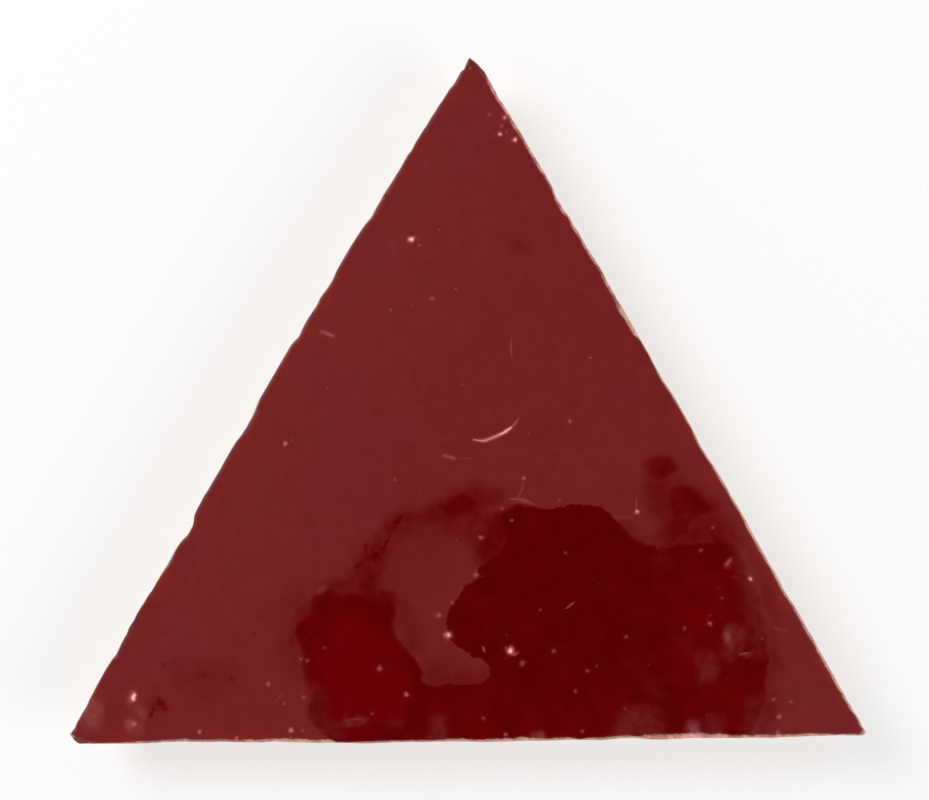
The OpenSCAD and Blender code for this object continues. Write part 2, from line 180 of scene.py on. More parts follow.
# Pinholes: place, radius and how pale their bottom is
PINHOLES = [
    (-42.3, -37, 0.46, 1), (-42.36, -37.22, 0.46, 1), (-42.42, -37.44, 0.42, 1),
    (-7.3, 20.5, 0.5, 1), (3.9, 33.8, 0.36, 0.85), (4.5, 35.9, 0.34, 0.75), (5.8, 33.1, 0.4, 0.95),
    (2.5, 36.3, 0.32, 0.35), (4.1, 34.8, 0.32, 0.4), (4.7, 34.1, 0.26, 0.3), (3, 33.6, 0.26, 0.25),
    (0.1, 42.1, 0.22, 0.4), (-6.3, 19.8, 0.3, 0.3), (-4.7, 13.1, 0.32, 0.42), (-7.2, 12.2, 0.26, 0.25),
    (-9.9, 11.6, 0.28, 0.28), (-1.7, 14.3, 0.26, 0.35), (15.3, 5.6, 0.26, 0.36), (12.7, -2.4, 0.3, 0.55),
    (-23.2, -5.2, 0.34, 0.65), (-22.3, -4.8, 0.24, 0.3), (-17.9, 1.8, 0.3, 0.28), (6.9, -9.6, 0.32, 0.55),
    (21.2, -13.8, 0.38, 0.8), (-17.4, -11.4, 0.26, 0.15), (5.2, -10.2, 0.22, 0.18),
    (1.5, -17.1, 0.36, 0.5), (0.9, -21.8, 0.44, 0.45), (4.2, -13.4, 0.28, 0.42), (5.4, -14.9, 0.3, 0.38),
    (-2.1, -25.3, 0.32, 0.42), (-3.8, -26.9, 0.42, 0.48), (-2.6, -29.4, 0.58, 0.85),
    (5.2, -31.4, 0.6, 1), (6.1, -31.6, 0.28, 0.35), (6.7, -33, 0.42, 0.4), (10.7, -31.4, 0.36, 0.34),
    (14.9, -33.9, 0.34, 0.34), (16.1, -33.3, 0.3, 0.24), (19.8, -29.6, 0.34, 0.36),
    (13.4, -36.5, 0.32, 0.34), (27.2, -28.5, 0.3, 0.36), (30.4, -27.9, 0.34, 0.5),
    (31.9, -24.7, 0.34, 0.26), (31.4, -23.5, 0.3, 0.18), (35.5, -22.3, 0.36, 0.85),
    (29.2, -18.7, 0.3, 0.36), (30.8, -15.8, 0.32, 0.36), (12.2, -19, 0.28, 0.3), (9, -26.2, 0.28, 0.28),
    (-11.3, -33.6, 0.42, 0.5), (-7.9, -36.9, 0.38, 0.6), (-18.2, -31, 0.34, 0.26),
    (-20.4, -32.6, 0.34, 0.36), (-21.2, -32.4, 0.28, 0.4), (-20.7, -29.8, 0.4, 0.12),
    (-20.9, -37.2, 0.34, 0.36), (-25.3, -35.5, 0.34, 0.48), (-12.2, -39.3, 0.3, 0.32),
    (1.8, -39.9, 0.36, 0.32), (14.3, -41.5, 0.36, 0.34), (19.7, -38.7, 0.34, 0.22),
    (-42.3, -40.6, 0.46, 0.55), (-34, -41.6, 0.36, 0.6), (-29.3, -42.3, 0.3, 0.6),
    (38.4, -37.5, 0.34, 0.4), (39.1, -39.7, 0.38, 0.55), (40.6, -37.8, 0.28, 0.36),
    (30.4, -26.9, 0.3, 0.22), (30, -27.3, 0.28, 0.18), (37, -29.8, 0.26, 0.3), (-38.4, -33.1, 0.34, 0),
    (-33.4, -34.4, 0.28, 0), (-29.9, -34.9, 0.36, 0), (-27.1, -29.2, 0.28, 0.05),
    (-22.5, -41.4, 0.42, 0.7), (-22.5, -42.3, 0.26, 0.4), (-21, -41.4, 0.34, 0.28),
    (39, -41.8, 0.36, 0.6), (-21.8, -4.2, 0.22, 0.15), (-9.4, -9.7, 0.34, 0.28), (-1.6, -17.5, 0.34, 0.2),
    (11.4, -12.4, 0.34, 0.25), (4.6, -41.9, 0.34, 0.45), (27.5, -15.1, 0.3, 0.1),
    (25.9, -15.2, 0.3, 0.12), (-23.3, -38, 0.34, 0.3), (-30.5, 1.2, 0.2, 0.15), (22.4, 2.1, 0.2, 0.18),
    (-14.2, -2.6, 0.2, 0.12), (-35.8, -24.3, 0.22, 0.15), (16.3, -22.9, 0.22, 0.15),
    (22.7, -33.1, 0.24, 0.18), (-14.9, -28.2, 0.24, 0.15), (8.9, 14.8, 0.2, 0.15),
    (-26.4, -12.9, 0.2, 0.12),
]
# Pale bruised patches of the glaze; the two at the base rim, near x 8 and x 28, are painted highlights
BRUISES_AND_HIGHLIGHTS = [
    (0.22, 1.4, [(-48.4, -38), (-47.4, -37.4), (-46.5, -38.3), (-46.5, -39.3), (-47.4, -40.3), (-48.6, -40)]),
    (0.3, 0.9, [(-48.2, -37.8), (-47.4, -37.6), (-47, -38.4), (-47.7, -39)]),
    (0.14, 1.8, [(-48.6, -39.6), (-46.4, -39.6), (-46.6, -41.2), (-48.4, -41.2)]),
    (0.26, 1.2, [(-43.3, -40.2), (-42.5, -40.1), (-42.1, -40.7), (-42.4, -41.4), (-43.2, -41.2)]),
    (0.14, 1.2, [(-42.4, -40.8), (-41.4, -40.9), (-41.2, -41.8), (-42.2, -42)]),
    (0.16, 1.3, [(-42.1, -38), (-41.3, -38.2), (-41, -39.2), (-41.4, -40.4), (-41.9, -39.4)]),
    (0.17, 0.9, [(-19.4, -24), (-18.5, -23.2), (-18.1, -23.4), (-18.8, -24.2)]),
    (0.2, 0.9, [(8, -43), (8.3, -42), (9.2, -41.9), (9.6, -43)]),
    (0.22, 1, [(27.6, -43), (28, -41), (28.7, -40.9), (29.2, -43)]),
    (0.44, 0.9, [(32.3, -29.3), (32.8, -29.2), (32.9, -30), (32.5, -30.3)]),
    (0.24, 1.2, [(-42.9, -36.6), (-42.1, -36.5), (-42.1, -37.7), (-42.8, -37.9)]),
    (0.14, 0.8, [(32.3, -20.7), (32.7, -19.7), (33.1, -19.9), (32.8, -20.8)]),
]
# Scratches and veins, and two painted highlights along the pool's upper edge near x 7 and x 19: width, depth,
# how pale they are, and the points they pass
SCRATCHES_AND_GLINTS = [
    (0.84, 0.05, 0.74, [
        (0.7, -4.76), (1.4, -4.85), (2, -4.84), (3.1, -4.43), (3.8, -4.13), (4.4, -3.8), (5.2, -3.25),
    ]),
    (1.3, 0.03, 0.9, [(3.9, -4.1), (4.5, -3.76), (5.3, -3.2)]),
    (0.7, 0.03, 0.5, [(5.1, -3.3), (5.6, -2.9), (5.95, -2.5), (6.15, -2.15)]),
    (1.7, 0.03, 0.36, [(-18.6, 8.9), (-17.9, 8.65), (-17.1, 8.3)]),
    (1.2, 0.02, 0.5, [(-18, 8.65), (-17.4, 8.4)]),
    (0.6, 0, 0.16, [(-18, 7.8), (-17.2, 7.6)]),
    (0.3, 0.02, 0.35, [(5.3, 8.1), (5.3, 6.6), (5.4, 5.6)]),
    (1.9, 0.02, 0.36, [(-3.2, -6.75), (-2.6, -6.85), (-1.9, -7.1)]),
    (1, 0.01, 0.2, [(-1.1, -7.1), (0.1, -7.1)]),
    (1, 0, 0.12, [(-3.3, -4.8), (-2.6, -4.8)]),
    (0.6, 0.01, 0.24, [(6.9, -9.9), (6.6, -11.2), (6, -12.2)]),
    (1, 0.01, 0.3, [(5.4, -12.2), (6.8, -12.4), (8.2, -12.9)]),
    (0.8, 0.01, 0.3, [(21.1, -12.4), (21.1, -13.4)]),
    (0.9, 0, 0.16, [(17.8, -14.3), (19.2, -14.6), (20.7, -14.5)]),
    (0.8, 0.01, 0.42, [(12.3, -26), (13.2, -25.3)]),
    (0.5, 0.01, 0.2, [(-24.6, -38), (-23.4, -36.6)]),
    (0.8, 0.01, 0.2, [(38.4, -28.3), (39.2, -28.7), (40, -28.8)]),
    (0.8, 0, 0.2, [(-2.1, -25.4), (-1.5, -24.6), (-1, -23.6)]),
    (0.7, 0, 0.4, [(34.2, -31.8), (35.2, -31.6)]),
    (0.7, 0, 0.2, [(-15.6, -40.1), (-14.6, -40), (-13.4, -40.1)]),
    (0.9, 0, 0.12, [(33, -22.1), (34.2, -22.1)]),
    (1.9, 0.03, 0.42, [(32.9, -19.9), (32.5, -20.5)]),
    (1.2, 0.02, 0.45, [(1.8, -31), (1.9, -31.3)]),
]

# ---- rim

# Bare clay beyond the glaze along the base, right and left sides: usual width, and stretches that differ,
# as first and last place from the side's first corner, anticlockwise, with their width
BARE_CLAY = [
    (0.3, [
        (-1, 1, 0.3), (2, 7, 0.1), (24, 33, 0.4), (33.6, 36, 0.04), (36.4, 47, 0.2), (53, 58.4, 0.42),
        (63.7, 65.2, 0.04), (73, 83, 0.56), (87.2, 88.6, 0.46), (96, 101, 0.16),
    ]),
    (0.28, [
        (-1, 3, 0.2), (31, 39, 0.24), (39.5, 52, 0.18), (52.5, 58, 0.1), (58.5, 62.5, 0.6), (63.5, 76, 0.3),
        (87, 96, 0.36), (97, 101, 0.04),
    ]),
    (0.03, [
        (22, 24, 0.12), (33, 34.5, 0.1), (50, 54, 0.12), (72.5, 75.5, 0.14), (87, 88.4, 0.12),
        (99.4, 102, 0.25),
    ]),
]
# Stretches of the rim, as side, first and last place, where the glaze and clay are scorched brown and
# darkened with painted shade, and how much
BURNT_AND_SHADED = [
    (0, -1, 2.4, 1), (1, 96, 101, 1), (2, -1, 36, 0.45), (2, 36, 66, 0.7), (2, 66, 97, 0.5),
    (2, 97, 103, 0.95),
]
# Stretches where the bare clay is pink instead of cream
PINK = [
    (0, 0, 26, 0.8), (0, 26, 72, 0.55), (0, 72, 101, 0.85), (1, -1, 22, 0.7), (1, 22, 62, 0.6),
    (1, 62, 101, 1),
]
# Length over which one stretch of the rim passes into the next
BLEND_LENGTH = 1.2
# Rolled rim of the glaze: how deep it drops, its radius, its gap from the clay, and the angles of its rings
GLAZE_DEPTH = 0.34
LIP = 0.1
LIP_GAP = 0.03
ROLL = (90, 68, 48, 30, 14, 0)

# ---- sizes of the mesh

# Gaps between the mesh's points: round the rim, at the corners, over the face and over the back
STATION_GAP = 0.34
CORNER_GAP = 0.12
FACE_GAP = 0.42
BACK_GAP = 1.4
# How far from a corner the points crowd together
CORNER_REACH = 3.0
# Room that the face's lattice keeps from the rim and the marks' points, and that these keep from the rim
# and from each other
LATTICE_RIM_ROOM = 0.25
LATTICE_MARK_ROOM = 0.22
MARK_RIM_ROOM = 0.12
MARK_GAP = 0.045
# Rings round a pinhole, as shares of its radius with the points in each, and rows along a scratch, as
# shares of its width
PIT_RINGS = ((0.3, 6), (0.55, 9), (0.8, 12), (1.05, 14), (1.35, 16), (1.75, 16))
SCRATCH_ROWS = (-1.6, -0.5, -0.22, 0, 0.22, 0.5, 1.6)
# Heights of the rings down the side, as shares of the cut edge's height
SIDE_SHARES = [0.985, 0.955, *np.linspace(0.91, 0.1, 19), 0.07, 0.045, 0.022, 0.008]
# Shares of it over which the facets begin and the fresh break ends
FACETS_BEGIN = 0.08
FRESH_END = 0.1
# Broken facets of the sides: size and slope of each kind, width of the steps between them, and how far they
# may stand out and cut in
FLAKES = ((5.5, 0.15), (2.3, 0.15))
STEP_WIDTH = 0.7
PROUD = 0.35
SUNK = 0.55
# Width over which the pool's mask rises, much wider than its visible edge
POOL_RAMP = 3.0


def smooth_step(t):
    t = np.clip(t, 0, 1)
    return t * t * (3 - 2 * t)


def field(points, scale, seed):
    """Smooth noise from -1 to 1 at each point, with blobs of about that scale."""
    rows = np.asarray(points, float) / scale
    if rows.shape[1] == 2:
        rows = np.column_stack([rows, np.zeros(len(rows))])
    return np.array([noise.noise(Vector((x, y, z + seed))) for x, y, z in rows])


def flakes(points, scale, slope):
    """Heights of small broken facets, each tilted its own way, that meet in short steep steps."""
    out = []
    for p in np.asarray(points) / scale:
        distances, centres = noise.voronoi(Vector(p))
        heights = []
        for centre in centres[:2]:
            tilt = noise.cell_vector(centre * 7.3) - Vector((0.5, 0.5, 0.5))
            heights.append((Vector(p) - centre).dot(tilt) * 2)
        own = 0.5 + 0.5 * smooth_step((distances[1] - distances[0]) * scale / STEP_WIDTH)
        out.append(heights[0] * own + heights[1] * (1 - own))
    return np.array(out) * scale * slope


def settle(points):
    """Turns places given for the leaning tile into places in the frame."""
    c, s = math.cos(MARK_LEAN), math.sin(MARK_LEAN)
    p = np.asarray(points, float)
    return p @ np.array([[c, -s], [s, c]]) + MARK_SHIFT


def polar(angles, radii):
    return CENTRE + np.stack([np.cos(angles), np.sin(angles)], -1) * np.asarray(radii)[..., None]


def smooth_ring(values, count):
    """Mean of each value of a closed ring with its neighbours."""
    reach = range(-count, count + 1)
    return sum(np.roll(values, k) for k in reach) / len(reach)


# ---- reading the frame

# Outline: number of angles it is measured at, and share of the tile's height
PROBES = 2400
PROBE_HEIGHT = 0.9
# Corners: where they are about, and how far round from there each is looked for
CORNER_ANGLES = [math.radians(a) for a in (-150, -30, 90)]
CORNER_SEARCH = 0.5
# Cut edge: looked for from this share of the tile's height up, in these steps
ARRIS_FROM = 0.88
ARRIS_STEP = 0.04
# Face: how far inside the cut edge its height is read, and how often it is smoothed
FACE_CLEAR = 1.3
SMOOTHINGS = 6


def cad_surface():
    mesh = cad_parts["tile"].data
    corners = [v.co / MM for v in mesh.vertices]
    return BVHTree.FromPolygons(corners, [tuple(p.vertices) for p in mesh.polygons])


SURFACE = cad_surface()


def side_radius(angle, z):
    """Distance of the CAD side from the tile's axis, at a height."""
    reach = HIGH[0] - LOW[0]
    out = Vector((math.cos(angle), math.sin(angle), 0))
    axis = Vector((*CENTRE, z))
    hit = SURFACE.ray_cast(axis + out * reach, -out, reach)[0]
    return (hit - axis).length if hit else 0.0


def nearest(points, corners):
    """Distance of each point from the nearest corner."""
    return np.min([np.linalg.norm(points - c, axis=1) for c in corners], 0)


def station_angles():
    """Angles round the tile's axis, closer together at the corners, and the three corners."""
    angles = np.linspace(-math.pi, math.pi, PROBES, endpoint=False)
    radii = np.array([side_radius(a, HIGH[2] * PROBE_HEIGHT) for a in angles])
    points = polar(angles, radii)
    steps = np.linalg.norm(np.roll(points, -1, 0) - points, axis=1)
    corners = []
    for corner in CORNER_ANGLES:
        close = np.abs(angles - corner) < CORNER_SEARCH
        corners.append(points[np.argmax(np.where(close, radii, 0))])
    near = nearest(points, corners)
    gap = CORNER_GAP + (STATION_GAP - CORNER_GAP) * smooth_step(near / CORNER_REACH)
    travel = np.concatenate([[0], np.cumsum(steps / gap)])
    count = int(travel[-1])
    return np.interp(np.arange(count) * travel[-1] / count, travel, np.append(angles, math.pi)), corners


ANGLES, CORNERS = station_angles()
COUNT = len(ANGLES)


def find_arris():
    """Radius and height of the CAD's cut edge at each station."""
    heights = np.arange(HIGH[2] * ARRIS_FROM, HIGH[2], ARRIS_STEP)
    radii = np.array([[side_radius(a, z) for z in heights] for a in ANGLES])
    top = np.argmax(radii, 1)
    return radii[np.arange(COUNT), top], smooth_ring(heights[top], 3)


ARRIS_R, ARRIS_Z = find_arris()
ARRIS = polar(ANGLES, ARRIS_R)


def side_places():
    """Side that each station belongs to, its place along that side, and the side's distance from the axis."""
    number, place, depth = np.zeros(COUNT, int), np.zeros(COUNT), np.zeros(COUNT)
    best = np.full(COUNT, np.inf)
    for k in range(3):
        a, b = CORNERS[k], CORNERS[(k + 1) % 3]
        along = (b - a) / np.linalg.norm(b - a)
        away = np.array([along[1], -along[0]])
        off = np.abs((ARRIS - a) @ away)
        mine = off < best
        best = np.where(mine, off, best)
        number[mine] = k
        place[mine] = ((ARRIS - a) @ along)[mine]
        depth[mine] = (a - CENTRE) @ away
    return number, place, depth


# The sides are numbered 0 for the base, 1 for the right and LEFT
LEFT = 2
SIDE, PLACE, DEPTH = side_places()
FROM_CORNER = nearest(ARRIS, CORNERS)
# The broken facets of the sides shrink towards the corners, where two sides meet
CALM = 0.25 + 0.75 * smooth_step(FROM_CORNER / 5)
# Where the stations crowd together, the facets' steps are spread over more of them
CROWDED = 1 - smooth_step((FROM_CORNER - 1) / CORNER_REACH)


def round_axis(angles, values):
    """Values given at the stations, read at other angles round the axis."""
    return np.interp(angles, ANGLES, values, period=2 * math.pi)


def drawn_in(ring, inset):
    """A ring of stations drawn in towards the axis, so that its sides stay parallel to themselves."""
    return CENTRE + (ring - CENTRE) * (1 - inset / DEPTH)[:, None]


def rim_inset(points):
    """Distance of points on the face from the cut edge, and their angle round the axis."""
    d = points - CENTRE
    angle = np.arctan2(d[:, 1], d[:, 0])
    return (1 - np.hypot(d[:, 0], d[:, 1]) / round_axis(angle, ARRIS_R)) * round_axis(angle, DEPTH), angle


def within(points, border, room):
    """Those of the points that lie inside a border, with some room."""
    limit, _ = rim_inset(border)
    inset, angle = rim_inset(points)
    return points[inset > round_axis(angle, limit) + room]


def height_map():
    """Smoothed heights of the CAD's face on a square grid of 1 mm, carried on past the rim."""
    xs = np.arange(math.floor(LOW[0]) - 2, HIGH[0] + 3)
    ys = np.arange(math.floor(LOW[1]) - 2, HIGH[1] + 3)
    gx, gy = np.meshgrid(xs, ys, indexing="ij")
    inset, _ = rim_inset(np.stack([gx.ravel(), gy.ravel()], -1))
    heights = np.full(gx.size, np.nan)
    for i in np.flatnonzero(inset > FACE_CLEAR):
        hit = SURFACE.ray_cast(Vector((gx.flat[i], gy.flat[i], HIGH[2] + 1)), Vector((0, 0, -1)))[0]
        if hit:
            heights[i] = hit.z
    heights = heights.reshape(gx.shape)
    sides = [(1, 0), (-1, 0), (0, 1), (0, -1)]
    diagonals = [(1, 1), (1, -1), (-1, 1), (-1, -1)]
    while np.isnan(heights).any():
        around = np.array([np.roll(heights, s, (0, 1)) for s in sides + diagonals])
        known = ~np.isnan(around)
        mean = np.where(known, around, 0).sum(0) / np.maximum(known.sum(0), 1)
        heights = np.where(np.isnan(heights) & known.any(0), mean, heights)
    for _ in range(SMOOTHINGS):
        heights = (heights * 2 + sum(np.roll(heights, s, (0, 1)) for s in sides)) / 6
    return xs, ys, heights


XS, YS, HEIGHTS = height_map()


def cubic_weights(t):
    """Weights of four neighbouring values for a place between the middle two."""
    return [((-t + 2) * t - 1) * t / 2, ((3 * t - 5) * t * t + 2) / 2, ((-3 * t + 4) * t + 1) * t / 2,
            (t - 1) * t * t / 2]


def face_height(points):
    """Height of the smooth face, by cubic interpolation in the height map."""
    u = np.clip(points[:, 0] - XS[0], 1, len(XS) - 3)
    v = np.clip(points[:, 1] - YS[0], 1, len(YS) - 3)
    i, j = u.astype(int), v.astype(int)
    wu, wv = cubic_weights(u - i), cubic_weights(v - j)
    return sum(wu[a] * wv[b] * HEIGHTS[i + a - 1, j + b - 1] for a in range(4) for b in range(4))


# ---- relief and masks of the face


def curve_through(points, closed, gap):
    """Points at about that gap on a smooth curve through the given points."""
    p = settle(points)
    n = len(p)
    out = []
    for i in range(n if closed else n - 1):
        a, b, c, d = p.take(range(i - 1, i + 3), 0, mode="wrap" if closed else "clip")
        for t in np.arange(0, 1, gap / max(np.linalg.norm(c - b), gap)):
            out.append(0.5 * (2 * b + (c - a) * t + (2 * a - 5 * b + 4 * c - d) * t**2
                              + (3 * b - a - 3 * c + d) * t**3))
    if not closed:
        out.append(p[-1])
    return np.array(out)


def distance_to(points, curve, closed):
    """Distance of each point from a polyline."""
    ends = np.roll(curve, -1, 0) if closed else curve[1:]
    starts = curve if closed else curve[:-1]
    best = np.full(len(points), np.inf)
    for a, b in zip(starts, ends):
        ab = b - a
        t = np.clip((points - a) @ ab / max(ab @ ab, 1e-9), 0, 1)
        best = np.minimum(best, np.hypot(*(points - a - t[:, None] * ab).T))
    return best


def inside(points, curve):
    """Whether each point lies in a closed polyline."""
    x, y = points.T
    hits = np.zeros(len(points), int)
    for (ax, ay), (bx, by) in zip(curve, np.roll(curve, -1, 0)):
        crosses = (ay > y) != (by > y)
        slope = (bx - ax) / (by - ay if by != ay else 1e-9)
        hits += crosses & (x < ax + (y - ay) * slope)
    return hits % 2 == 1


def around(points, curve, reach):
    """Numbers of the points that lie in a curve's box, made larger by a reach."""
    return np.flatnonzero(((points > curve.min(0) - reach) & (points < curve.max(0) + reach)).all(1))


def patches(points, rows):
    """Soft masks of outlined patches, laid over each other."""
    mask = np.zeros(len(points))
    for strength, softness, outline in rows:
        curve = curve_through(outline, True, 0.8)
        near = around(points, curve, softness)
        far = distance_to(points[near], curve, True)
        signed = np.where(inside(points[near], curve), far, -far)
        mask[near] = np.maximum(mask[near], strength * smooth_step(signed / softness + 0.5))
    return mask


def strokes(points, rows):
    """Masks of strokes with soft sides and ends, laid over each other."""
    mask = np.zeros(len(points))
    for width, strength, route in rows:
        curve = curve_through(route, False, 0.3)
        near = around(points, curve, width)
        ends = np.minimum(np.hypot(*(points[near] - curve[0]).T), np.hypot(*(points[near] - curve[-1]).T))
        half = width / 2 * (0.5 + 0.5 * smooth_step(ends / (0.5 + width)))
        off = distance_to(points[near], curve, False)
        mask[near] = np.maximum(mask[near], strength * (1 - smooth_step(off / half)))
    return mask


def pinhole_marks(points):
    """Depth and paleness that the pinholes give each point, and how near it is to one."""
    depth, pale, hollow = np.zeros((3, len(points)))
    uneven = 1 + 0.5 * field(points, 0.45, 90)
    for x, y, radius, paleness in PINHOLES:
        centre = settle([(x, y)])[0]
        d = np.hypot(*(points - centre).T) / radius * uneven
        bowl = 1 - smooth_step(d)
        swell = np.exp(-(((d - 1.3) / 0.3) ** 2))
        depth = np.maximum(depth, radius * (0.03 + 0.15 * paleness) * (bowl - 0.15 * swell))
        pale = np.maximum(pale, paleness * np.exp(-((d / 0.85) ** 2)))
        hollow = np.maximum(hollow, 1 - smooth_step((d - 0.5) / 0.8))
    return depth, pale, hollow


def face_masks(flat, pale, hollow):
    """Masks of the glaze's marks at each point of the face. Their outlines wander a little."""
    wander = 0.24 * np.stack([field(flat, 1.2, 70), field(flat, 1.2, 71)], -1)
    wander += 0.2 * np.stack([field(flat, 3.5, 72), field(flat, 3.5, 73)], -1)
    moved, far_moved = flat + wander, flat + wander * 2
    scratched_and_glinting = strokes(flat, [(width, paleness, route) for width, _, paleness, route in SCRATCHES_AND_GLINTS])
    return {
        "pool": patches(moved, [(1.0, POOL_RAMP, POOL)]),
        "blur": patches(moved, SOFT_EDGES),
        "haze": patches(far_moved, HAZES),
        "wisp": strokes(moved, WISPS),
        "thin_and_paler_reflection": patches(moved, THIN_GLAZE_AND_PALER_REFLECTION),
        "smear_and_highlight": patches(far_moved, SMEARS_AND_HIGHLIGHTS),
        "pale": np.maximum(pale, scratched_and_glinting),
        "bruise_and_highlight": patches(moved, BRUISES_AND_HIGHLIGHTS),
        "hollow": hollow,
    }


def face_surface(flat, inset, dent):
    """Heights of the face with its waves, pinholes and scratches, kept within the CAD's height."""
    groove = strokes(flat, [(width, depth, route) for width, depth, _, route in SCRATCHES_AND_GLINTS])
    waves = 0.045 * field(flat, 11, 80) + 0.008 * field(flat, 3.2, 81)
    settle_in = smooth_step((inset - 0.6) / 4)
    return np.minimum(face_height(flat) + waves * settle_in - dent - groove, HIGH[2])


# ---- points of the mesh


def hex_lattice(gap):
    """Points of a triangular lattice over the tile's box, each moved a little at random."""
    draw = np.random.default_rng(11)
    out = []
    for j, y in enumerate(np.arange(LOW[1], HIGH[1], gap * math.sqrt(0.75))):
        xs = np.arange(LOW[0] + (j % 2) * gap / 2, HIGH[0], gap)
        out.append(np.stack([xs, np.full(len(xs), y)], -1))
    points = np.concatenate(out)
    return points + draw.uniform(-0.12, 0.12, points.shape) * gap


def mark_points():
    """Extra points round each pinhole and along each scratch."""
    out = []
    for x, y, radius, _ in PINHOLES:
        centre = settle([(x, y)])[0]
        out.append(centre[None])
        for share, count in PIT_RINGS:
            turn = np.arange(count) * 2 * math.pi / count + share * 7
            out.append(centre + radius * share * np.stack([np.cos(turn), np.sin(turn)], -1))
    for width, _, _, route in SCRATCHES_AND_GLINTS:
        curve = curve_through(route, False, 0.22)
        tangent = np.gradient(curve, axis=0)
        across = np.stack([-tangent[:, 1], tangent[:, 0]], -1) / np.linalg.norm(tangent, axis=1)[:, None]
        for share in SCRATCH_ROWS:
            out.append(curve + across * width * share)
    return np.concatenate(out)


def clear_of(points, p, gap):
    """Whether all the points lie further than a gap from one point."""
    off = points[np.abs(points[:, 1] - p[1]) <= gap] - p
    return not (np.hypot(*off.T) <= gap).any()


def face_points(border):
    """Points of the face: the marks' own, thinned out, and a lattice that fills the rest."""
    marks = within(mark_points(), border, MARK_RIM_ROOM)
    lattice = within(hex_lattice(FACE_GAP), border, LATTICE_RIM_ROOM)
    kept = marks[:1]
    for p in marks[1:]:
        if clear_of(kept, p, MARK_GAP):
            kept = np.append(kept, [p], 0)
    return np.concatenate([kept, [p for p in lattice if clear_of(marks, p, LATTICE_MARK_ROOM)]])


def back_points(border):
    """Points of the back, which is a little uneven."""
    lattice = within(hex_lattice(BACK_GAP), border, BACK_GAP / 2)
    rough = np.maximum(0, 0.1 + 0.2 * field(lattice, 6, 60) + 0.1 * field(lattice, 2, 61))
    return np.column_stack([lattice, rough])


# ---- rings of the rim and sides


def stretch(first, last):
    """Mask of the stations between two places along their side."""
    return smooth_step(np.minimum(PLACE - first, last - PLACE) / BLEND_LENGTH + 0.5)


def bare_widths():
    """Width of the bare clay at each station, uneven as chiselled glaze is."""
    width = np.zeros(COUNT)
    for k, (usual, stretches) in enumerate(BARE_CLAY):
        here = np.full(COUNT, usual)
        for first, last, value in stretches:
            here += (value - here) * stretch(first, last)
        width = np.where(SIDE == k, here, width)
    ragged = 1 + 0.45 * field(ARRIS, 1.6, 3) + 0.35 * field(ARRIS, 0.5, 8)
    return np.clip(smooth_ring(width, 2) * ragged, 0.02, 1.4)


def along_rim(stretches):
    """Value of each station from a list of stretches of the rim."""
    out = np.zeros(COUNT)
    for side, first, last, value in stretches:
        out = np.maximum(out, np.where(SIDE == side, value * stretch(first, last), 0))
    return out


def nibbles():
    """How far small breaks set the cut edge back at each station. The left side has more of them."""
    small = np.maximum(0, field(ARRIS, 0.9, 21) - 0.15) * 0.22
    wide = np.maximum(0, field(ARRIS, 3.2, 33) - 0.2) * 0.25
    notched = np.maximum(0, field(ARRIS, 1.3, 35) - 0.05) * 0.3
    return smooth_ring(np.where(SIDE == LEFT, notched, small + wide), 1)


def glaze_rim(bare, nib):
    """Rings of the rolled rim of the glaze, from the face down."""
    edge = bare + nib + LIP_GAP
    lip = LIP * (1 + 0.3 * field(ARRIS, 4, 5))
    drop = GLAZE_DEPTH * (0.55 + 0.2 * field(ARRIS, 2.5, 6))
    rings = []
    for turn in np.radians(ROLL):
        ring = drawn_in(ARRIS, edge + lip * (1 - math.cos(turn)))
        rings.append(np.column_stack([ring, face_height(ring) - drop * (1 - math.sin(turn))]))
    return rings


def clay_side(bare, nib):
    """Rings of the bare ledge and chiselled side, from the glaze down, and how carved and fresh each is."""
    ledge = (
        (nib + bare, ARRIS_Z + 0.05 + 0.03 * field(ARRIS, 0.7, 14)),
        (nib + bare / 2, ARRIS_Z + 0.02 + 0.06 * bare * field(ARRIS, 0.5, 15)),
        (nib, ARRIS_Z - 0.02),
    )
    rings = [np.column_stack([drawn_in(ARRIS, inset), z]) for inset, z in ledge]
    carved, fresh = [np.zeros(COUNT)] * 3, [np.ones(COUNT)] * 3
    for share in SIDE_SHARES:
        z = np.maximum(ARRIS_Z * share, 0.03)
        radius = np.array([side_radius(a, h) for a, h in zip(ANGLES, z)])
        radius = np.minimum(radius, ARRIS_R - (nib * ARRIS_R / DEPTH) * share)
        ring = np.column_stack([polar(ANGLES, radius), z])
        rough = sum(flakes(ring, size, slope) for size, slope in FLAKES)
        rough += 0.12 * field(ring, 1.1, 41) + 0.06 * field(ring, 0.4, 42)
        rough = np.clip(rough * CALM, -PROUD, SUNK)
        rough += (smooth_ring(rough, 4) - rough) * CROWDED
        # Nothing stands out past the cut edge, and so past the CAD's box
        rough = np.maximum(rough, (radius / ARRIS_R - 0.999) * DEPTH)
        begun = min(1.0, (1 - share) / FACETS_BEGIN)
        ring[:, :2] = drawn_in(ring[:, :2], begun * rough)
        rings.append(ring)
        carved.append(rough)
        fresh.append(np.full(COUNT, max(0.0, 1 - (1 - share) / FRESH_END)))
    last = rings[-1].copy()
    last[:, :2] = drawn_in(last[:, :2], 0.25)
    last[:, 2] = 0
    return rings + [last], carved + [np.zeros(COUNT)], fresh + [np.zeros(COUNT)]


# ---- mesh


def fill_ring(ring, inner):
    """Triangles over the area inside a ring, through the inner points. The ring's points come first."""
    points = [Vector(p) for p in np.concatenate([ring, inner]).tolist()]
    border = [(i, (i + 1) % len(ring)) for i in range(len(ring))]
    verts, _, faces, *_ = delaunay_2d_cdt(points, border, [], 1, 1e-7)
    if len(verts) != len(points):
        raise RuntimeError("the triangulation moved points")
    return np.array(faces)


